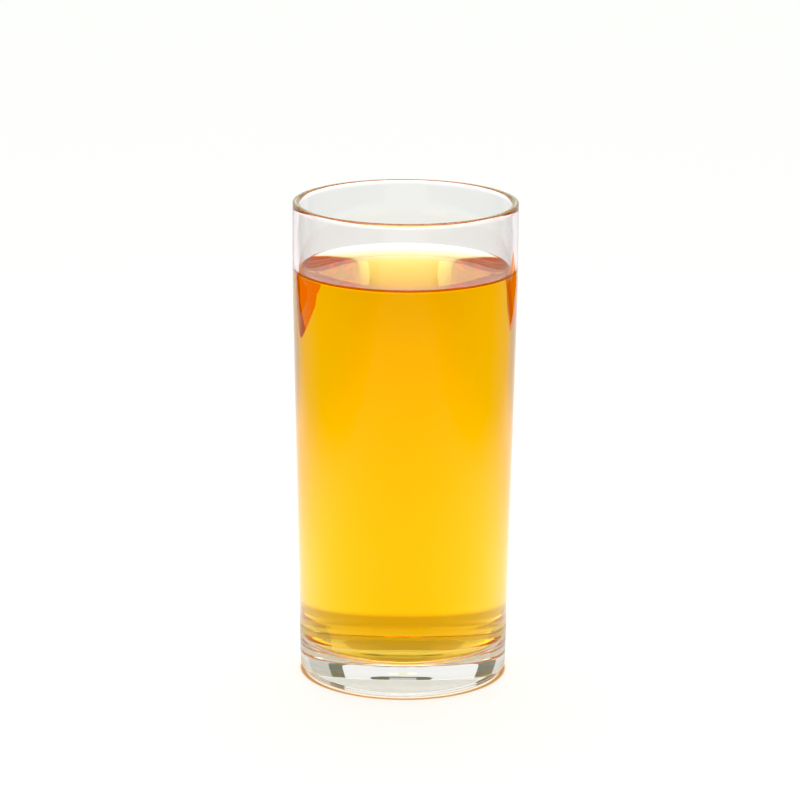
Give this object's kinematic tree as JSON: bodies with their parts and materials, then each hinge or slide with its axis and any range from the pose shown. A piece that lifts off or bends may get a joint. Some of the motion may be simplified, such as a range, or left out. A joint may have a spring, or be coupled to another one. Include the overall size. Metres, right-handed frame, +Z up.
{
  "type": "glass of juice",
  "caption": "Tall, slightly tapered clear drinking glass with a thick base, filled to just below the brim with clear golden juice.",
  "frame": {"origin": "centre of the base, on the surface that the glass stands on", "axes": "+Z up along the glass's axis, which it is turned about"},
  "size_m": [0.065, 0.065, 0.1407],
  "materials": {
    "glass": "clear, fire polished",
    "juice": "clear golden liquid with a still surface"
  },
  "bodies": {
    "root": {"glass": "glass", "juice": "juice"}
  },
  "joints": []
}
